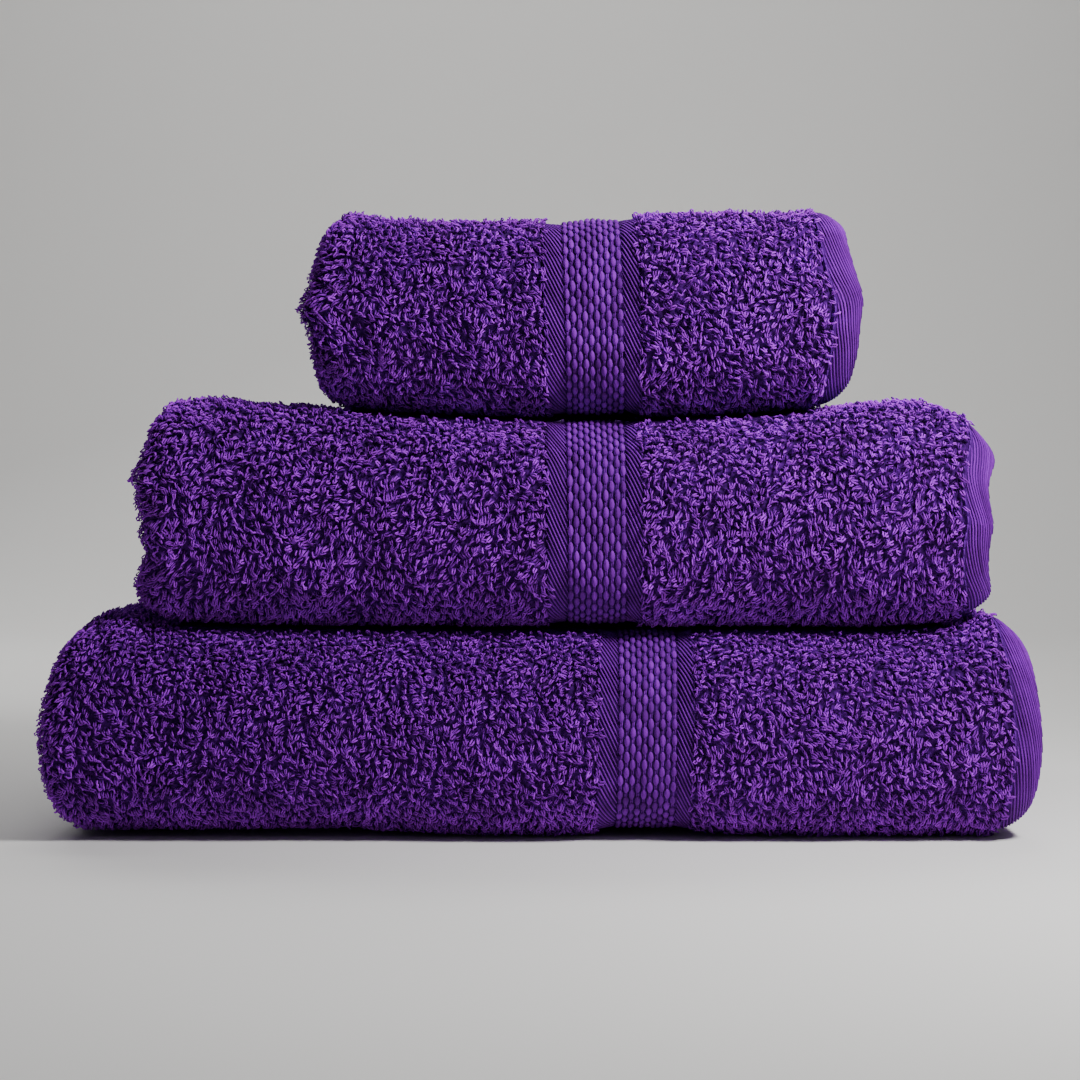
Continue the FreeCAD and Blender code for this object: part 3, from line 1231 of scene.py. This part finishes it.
    def all_pile(self) -> None:
        """The pile of the outer face, finest at the front."""
        section, wrap, front = self.shape.section, self.shape.wrap, self.front
        turn_begin, turn_end = section.span(2)
        inner_begin, inner_end = section.span(4)
        top = (SIDE_HEM_WIDTH + 0.001, front[0])
        rear = (wrap.span(5)[0] - PAST_CORNER, wrap.span(5)[1] + OVERLAP)
        whole = (SIDE_HEM_WIDTH + 0.001, wrap.length - SIDE_HEM_WIDTH)
        first, last = self.field - 0.0004, turn_begin
        spans = {"end": (HEM_LENGTH, self.border + 0.0004)}
        parts = 3 if self.cut.length > 1.0 else 2
        for part in range(parts):
            step = (last - first) / parts
            spans[f"field_{part}"] = (first + part * step, first + (part + 1) * step)
        for label, span in spans.items():
            self.pile(f"{label}_front", span, front, Grade.FINE)
        for label, span in {"end": spans["end"], "field": (first, last)}.items():
            self.pile(f"{label}_top", span, top, Grade.PLAIN)
            self.pile(f"{label}_rear", span, rear, Grade.PLAIN)
            self.pile(f"{label}_top_pressed", span, top, Grade.PRESSED)
            if not self.shape.on_floor:
                self.pile(f"{label}_foot_pressed", span, (front[1], rear[0]), Grade.PRESSED)
        left = (turn_begin, turn_end + FOLD_OVERLAP)
        right = (inner_begin - FOLD_OVERLAP, inner_end + FOLD_OVERLAP)
        self.pile("left_fold_front", left, front, Grade.FINE, 1.12)
        self.pile("left_fold_top", left, top, Grade.PLAIN, 1.15)
        self.pile("left_fold_rear", left, (front[1], whole[1]), Grade.PLAIN)
        self.pile("right_fold", right, whole, Grade.PLAIN, 1.12)

    def rows(
        self, kind: str, spots: Grid, shapes: bpy.types.Collection, finish: Material,
        replaced: Sequence[str] = (), slot: str = "flat_weave", **values: float,
    ) -> None:
        """Copies of a shape at flat spots, less those on the underside, as one piece.

        Args:
            kind: What the piece is called.
            spots: Where the copies go.
            shapes: What is copied.
            finish: The piece's material.
            replaced: Kinds of CAD node that it stands for.
            slot: The record's material slot; not used.
            values: The planter's inputs.
        """
        bed = bmesh.new()
        for spot in spots[~self.shape.underneath(spots)]:
            bed.verts.new(spot)
        piece = self.planter.plant(new_piece(self.named(kind), bed), shapes, False, Size=1.0, **values)
        self.own(piece, finish, replaced)

    def band(
        self, kind: str, u_span: Span, thickness: float, finish: Material,
        replaced: Sequence[str] = (), lift: Profile = LEVEL,
        v_span: Span | None = None, step: float = 0.004,
    ) -> None:
        """A strip of flat weave with rounded edges.

        Args:
            kind: What the strip is called.
            u_span: From where to where along the towel.
            thickness: How thick it is.
            finish: Its material.
            replaced: Kinds of CAD node that it stands for.
            lift: How far its face rises, from its first edge 0 to its last 1.
            v_span: From where to where across the towel, or all of it.
            step: The most between its lines along the towel.
        """
        low, high = u_span
        first, last = v_span or (0.0, self.shape.wrap.length)
        rim = thickness / 2
        rims = (0.12 * rim, 0.5 * rim, rim)
        across = self.shape.section.lines(
            low, high, step, [*(low + r for r in rims), *(high - r for r in rims)]
        )
        along = self.shape.wrap.lines(
            first, last, 0.008, [*(first + r for r in rims), *(last - r for r in rims)]
        )

        def relief(u: Grid, v: Grid) -> tuple[Grid, Grid]:
            """The strip's lower and upper w, rounded at its rims."""
            inside = np.minimum(np.minimum(u - low, high - u), np.minimum(v - first, last - v))
            share = np.clip(inside / rim, 0.02, 1.0)
            half = rim * np.sqrt(1.0 - (1.0 - share) ** 2)
            return -half, half + lift.at((u - low) / (high - low))

        self.own(slab(self.named(kind), across, along, relief), finish, replaced)

    def mirrored(self, span: Span) -> Span:
        """The same stretch at the towel's other end."""
        return self.cut.length - span[1], self.cut.length - span[0]

    def panel_weave(self) -> None:
        """The border's panel: staggered columns of long grains."""
        span, outer = (self.panel, self.panel_end), PANEL_THICKNESS / 2 - 0.0010
        backing, sides = self.wardrobe.backing, self.between_sides
        self.band(
            "panel_backing", span, 2 * outer, backing, ("border_panel_outer",), PANEL_CROWN, sides
        )
        self.band(
            "panel_inner", self.mirrored(span), PANEL_THICKNESS, backing, ("border_panel_inner",),
            v_span=sides,
        )
        count = int(self.shape.wrap.length / GRAIN_PITCH) - 1
        spots = []
        for u, crown, stagger in self.columns():
            height = outer + 0.0003 + crown
            spots.extend((u, (row + 0.6 + stagger) * GRAIN_PITCH, height) for row in range(count))
        flat = np.array(spots)
        reach = self.shape.wrap.span(5)[1]
        flat = flat[(flat[:, 1] > SIDE_HEM_WIDTH) & (flat[:, 1] < reach)]
        self.rows("panel_grains", flat, self.shapes.grains, self.wardrobe.grain, Vary=0.05)
        self.necks(outer, reach)

    def columns(self) -> list[tuple[float, float, float]]:
        """The u, the height of the panel's crown and the stagger of each column of grains."""
        shares = [(column + 0.5) / GRAIN_COLUMNS for column in range(GRAIN_COLUMNS)]
        gap = PANEL_WIDTH / GRAIN_COLUMNS
        return [
            (self.panel + (column + 0.5) * gap, float(PANEL_CROWN.at(share)), 0.5 * (column % 2))
            for column, share in enumerate(shares)
        ]

    def necks(self, height: float, reach: float) -> None:
        """The thin threads that show between the grains of a column.

        Args:
            height: The w of the panel's face at its edges.
            reach: How far across the towel they go.
        """
        shape = bmesh.new()
        bmesh.ops.create_cube(shape, size=1.0)
        spin(shape, math.pi / 4, "Y")
        bmesh.ops.scale(shape, verts=shape.verts[:], vec=Vector((0.00036, 0.0032, 0.00050)))
        threads = Shapes.store(self.named("necks"), [shape])
        spots = []
        for u, crown, stagger in self.columns():
            for row in range(int(reach / GRAIN_PITCH) - 1):
                v = (row + 1.1 + stagger) * GRAIN_PITCH
                spots.extend((u + side * 0.00030, v, height - 0.0001 + crown) for side in (-1, 1))
        flat = np.array(spots)
        flat = flat[flat[:, 1] > SIDE_HEM_WIDTH]
        self.rows("panel_necks", flat, threads, self.wardrobe.grain, Vary=0.04)

    def ribs(
        self, kind: str, u_span: Span, v_span: Span, sizes: RibSizes,
        face: float, lift: Profile = LEVEL,
    ) -> None:
        """Slanting ribs on a strip.

        Args:
            kind: What the piece is called.
            u_span: The strip's edges along the towel.
            v_span: The strip's ends across the towel.
            sizes: The ribs' sizes.
            face: The w of the strip's face where it is level.
            lift: How far the strip's face rises, from its first edge 0 to its last 1.
        """
        low, high = u_span
        angle = sizes.angle
        length = (high - low) / math.sin(angle)
        pieces = max(4, math.ceil(length / 0.004))
        stations = [length * (step / pieces - 0.5) for step in range(pieces + 1)]
        shape = tube(4, stations, sizes.width / 2)
        spin(shape, math.pi / 4, "Z")
        for point in shape.verts:
            taper = 1.0 - 0.55 * (2.0 * point.co.z / length) ** 6
            point.co.x *= taper
            point.co.y *= taper
        spin(shape, math.pi / 2, "X")
        spin(shape, angle, "Z")
        for point in shape.verts:
            point.co.z += float(lift.at(0.5 + point.co.x / (high - low)))
        kept = Shapes.store(self.named(f"{kind}_rib"), [shape])
        step = sizes.pitch / math.sin(angle)
        half = length * math.cos(angle) / 2
        count = int((v_span[1] - v_span[0] - 2 * half) / step)
        middle = (low + high) / 2
        height = face + sizes.stand
        spots = np.array([(middle, v_span[0] + half + row * step, height) for row in range(count + 1)])
        self.rows(kind, spots, kept, self.wardrobe.twill, Vary=0.03)

    def border_twill(self) -> None:
        """The twill strips each side of the panel."""
        spans = {
            "near": ((self.border, self.panel), DISH_AFTER_TERRY),
            "far": ((self.panel_end, self.field), DISH_BEFORE_TERRY),
        }
        reach = (SIDE_HEM_WIDTH, self.shape.wrap.span(5)[1])
        backing, sides = self.wardrobe.backing, self.between_sides
        for label, (span, dish) in spans.items():
            near = label == "near"
            self.band(
                f"twill_{label}", span, TWILL_THICKNESS, backing,
                ("border_twill_outer",) if near else (), dish, sides,
            )
            self.band(
                f"twill_{label}_inner", self.mirrored(span), TWILL_THICKNESS, backing,
                ("border_twill_inner",) if near else (), v_span=sides,
            )
            self.ribs(f"twill_{label}_ribs", span, reach, TWILL_RIBS, TWILL_THICKNESS / 2, dish)

    def hems(self) -> None:
        """The end hems and side hems, with the ribs of the one that shows."""
        width, wardrobe = self.shape.wrap.length, self.wardrobe
        end = (0.0, HEM_LENGTH)
        self.band("hem_outer", end, HEM_THICKNESS, wardrobe.seam, ("end_hem_outer",))
        self.band("hem_inner", self.mirrored(end), HEM_THICKNESS, wardrobe.twill, ("end_hem_inner",))
        self.ribs(
            "hem_ribs", (0.0012, HEM_LENGTH - 0.0018), (0.002, width - 0.002), HEM_RIBS,
            HEM_THICKNESS / 2,
        )
        between = (HEM_LENGTH, self.cut.length - HEM_LENGTH)
        sides = {"top": (0.0, SIDE_HEM_WIDTH), "tucked": (width - SIDE_HEM_WIDTH, width)}
        for label, span in sides.items():
            self.band(
                f"side_band_{label}", between, SIDE_HEM_THICKNESS, wardrobe.twill,
                (f"side_hem_{label}",), v_span=span, step=0.010,
            )

    def stitching(self) -> None:
        """The lockstitch of the outer end hem and of the top side hem."""
        stitches, thread, slot = self.shapes.stitches, self.wardrobe.thread, "sewing_thread"
        inset = 0.0030
        end_rows = np.arange(0.004, self.shape.wrap.length - 0.004, STITCH_PITCH)
        end = np.array([(HEM_LENGTH - inset / 3, v, HEM_THICKNESS / 2 + 0.0002) for v in end_rows])
        self.rows("end_stitches", end, stitches, thread, ("end_hem_thread",), slot, Vary=0.04)
        side_rows = np.arange(HEM_LENGTH + 0.003, self.shape.section.span(2)[1], STITCH_PITCH)
        side = np.array([(u, SIDE_HEM_WIDTH - inset, SIDE_HEM_THICKNESS / 2 + 0.0001) for u in side_rows])
        self.rows(
            "side_stitches", side, stitches, thread, ("side_hem_thread",), slot,
            Vary=0.04, Flow=math.pi / 2,
        )

    def make(self, rests_on: Sequence[str]) -> None:
        """Builds the towel.

        Args:
            rests_on: What the towel lies on; not used.
        """
        self.ground()
        self.all_pile()
        self.panel_weave()
        self.border_twill()
        self.hems()
        self.stitching()


@dataclass(frozen=True)
class Lamp:
    """A square soft light."""

    name: str
    place: tuple[float, float, float]
    size: float
    power: float  # in watts
    target: tuple[float, float, float]


LAMPS = (
    Lamp("key", (0.36, -0.38, 0.52), 0.13, 5.6, (0.10, -0.12, 0.20)),
    Lamp("side", (0.90, -0.95, 0.70), 0.50, 0.5, (0.0, -0.12, 0.16)),
    Lamp("back", (-0.75, 1.00, 0.80), 0.60, 4.0, (0.0, 0.0, 0.13)),
    Lamp("wall", (0.0, 0.55, 1.50), 1.00, 16.0, (0.0, 1.60, 0.40)),
)


class Studio:
    """A pale floor and backdrop, soft light and the camera."""

    def build(self) -> None:
        """Sets the scene."""
        self.floor()
        for lamp in LAMPS:
            self.hang(lamp)
        world = bpy.data.worlds.new("studio_air")
        world.use_nodes = True
        world.node_tree.nodes["Background"].inputs["Color"].default_value = (0.94, 0.95, 1.0, 1.0)
        world.node_tree.nodes["Background"].inputs["Strength"].default_value = 0.075
        bpy.context.scene.world = world
        self.camera()

    def floor(self) -> None:
        """A floor that curves up into a wall."""
        shape = bmesh.new()
        bmesh.ops.create_grid(shape, x_segments=1, y_segments=1, size=3.0)
        back = [edge for edge in shape.edges if all(point.co.y > 0 for point in edge.verts)]
        bmesh.ops.translate(shape, verts=list(back[0].verts), vec=Vector((0.0, -1.2, 0.0)))
        risen = bmesh.ops.extrude_edge_only(shape, edges=back)["geom"]
        top = [item for item in risen if isinstance(item, bmesh.types.BMVert)]
        bmesh.ops.translate(shape, verts=top, vec=Vector((0.0, 0.0, 3.0)))
        bmesh.ops.bevel(
            shape, geom=back, offset=0.7, affect="EDGES", segments=16, profile=0.5, material=-1
        )
        piece = new_piece("studio_floor", shape)
        material = bpy.data.materials.new("studio_paper")
        material.use_nodes = True
        surface = material.node_tree.nodes["Principled BSDF"]
        surface.inputs["Base Color"].default_value = (0.80, 0.79, 0.77, 1.0)
        surface.inputs["Roughness"].default_value = 0.9
        piece.data.materials.append(material)

    def hang(self, lamp: Lamp) -> None:
        """Puts up a lamp."""
        light = bpy.data.lights.new(lamp.name, "AREA")
        light.size = lamp.size
        light.energy = lamp.power
        holder = bpy.data.objects.new(lamp.name, light)
        holder.location = lamp.place
        aim = Vector(lamp.target) - Vector(lamp.place)
        holder.rotation_euler = aim.to_track_quat("-Z", "Y").to_euler()
        holder.visible_camera = False
        bpy.context.scene.collection.objects.link(holder)

    def camera(self) -> None:
        """A long lens, a little above half the bale's height and square to its front."""
        lens = bpy.data.cameras.new("camera")
        lens.sensor_width = 36.0
        lens.lens = 79.0
        eye = bpy.data.objects.new("camera", lens)
        eye.location = (0.0, -1.107, 0.147)
        eye.rotation_euler = (math.radians(90.0 - 1.43), 0.0, 0.0)
        bpy.context.scene.collection.objects.link(eye)
        bpy.context.scene.camera = eye


CUTS = (
    Cut(
        "bath_sheet", 0.900, 1.600, 0.00727, 0.1420,
        Profile((0.0, 0.5, 0.8, 1.0), (0.002, -0.002, 0.004, 0.011)),
        Profile((0.0, 0.4, 1.0), (-0.002, 0.002, -0.003)),
        Profile((0.0, 0.06, 0.10, 0.2, 0.5, 0.9, 0.96, 1.0),
                (0.003, 0.0068, 0.0070, 0.005, 0.003, 0.0055, 0.0065, 0.003)),
        Profile((0.0, 0.15, 0.30, 0.42, 0.5, 0.62, 0.70, 1.0),
                (0.004, 0.004, 0.0045, 0.001, 0.0, 0.003, 0.001, 0.0)),
        lean=0.001, pile_flow=0.15, pile_drift=0.7, pile_size=0.94, seed=0.4,
    ),
    Cut(
        "bath_towel", 0.700, 1.400, 0.00730, 0.1470,
        Profile((0.0, 0.18, 0.25, 0.32, 0.39, 0.462, 0.533, 0.605, 0.66, 0.69, 0.746, 0.82, 0.89, 1.0),
                (0.002, 0.0014, 0.0042, 0.0065, 0.0045, 0.005, 0.0032, 0.0025, 0.0005, 0.0015, 0.0042,
                 0.0059, 0.0062, 0.006)),
        Profile((0.0, 0.11, 0.25, 0.39, 0.5, 0.605, 0.746, 0.82, 0.89, 1.0),
                (-0.001, 0.0, -0.0028, -0.0032, -0.0018, -0.0030, -0.0028, -0.0002, 0.0019, 0.003)),
        Profile((0.0, 0.05, 0.1, 0.14, 0.18, 0.3, 0.8, 0.87, 0.91, 0.945, 1.0),
                (0.004, 0.0065, 0.0078, 0.0058, 0.0045, 0.0045, 0.006, 0.0058, 0.0066, 0.0030, -0.007)),
        Profile((0.0, 0.1, 0.3, 0.7, 0.93, 1.0), (0.003, 0.001, 0.0, 0.0, 0.001, 0.004)),
        lean=-0.001, pile_flow=-0.35, pile_drift=1.1, pile_size=1.0, seed=2.1,
    ),
    Cut(
        "hand_towel", 0.500, 0.900, 0.00715, 0.0930,
        Profile((0.0, 0.15, 0.28, 0.38, 0.48, 0.57, 0.67, 0.77, 0.9, 1.0),
                (0.0055, 0.005, 0.0036, 0.002, -0.001, 0.002, 0.004, 0.0065, 0.0085, 0.010)),
        Profile((0.0, 0.15, 0.28, 0.38, 0.5, 0.67, 0.77, 0.84, 1.0),
                (-0.0030, -0.0022, -0.0007, -0.0002, 0.0008, -0.0028, -0.0047, -0.0053, -0.0074)),
        Profile((0.0, 0.06, 0.15, 0.4, 0.6, 0.75, 0.9, 0.95, 1.0),
                (-0.0002, -0.0008, -0.0028, -0.0034, -0.0006, 0.0, 0.0, 0.0012, 0.004)),
        Profile((0.0, 0.12, 0.35, 0.65, 0.85, 1.0), (0.005, 0.0025, 0.0, 0.0, 0.002, 0.0045)),
        lean=-0.0025, pile_flow=0.30, pile_drift=1.3, pile_size=1.0, seed=3.7,
    ),
)


def main() -> None:
    """Builds the bale and its studio."""
    logging.basicConfig(level=logging.INFO, format="%(message)s")
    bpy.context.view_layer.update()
    Studio().build()
    shapes = Shapes(LoopSizes())
    planter = Planter()
    wardrobe = Wardrobe()
    below: list[str] = []
    for number, cut in enumerate(CUTS):
        above = seat_of(CUTS[number + 1]) if number + 1 < len(CUTS) else None
        Towel(cut, above, shapes, planter, wardrobe).make(below)
        below = [f"{cut.name}_cloth"]


if __name__ == "__main__":
    main()
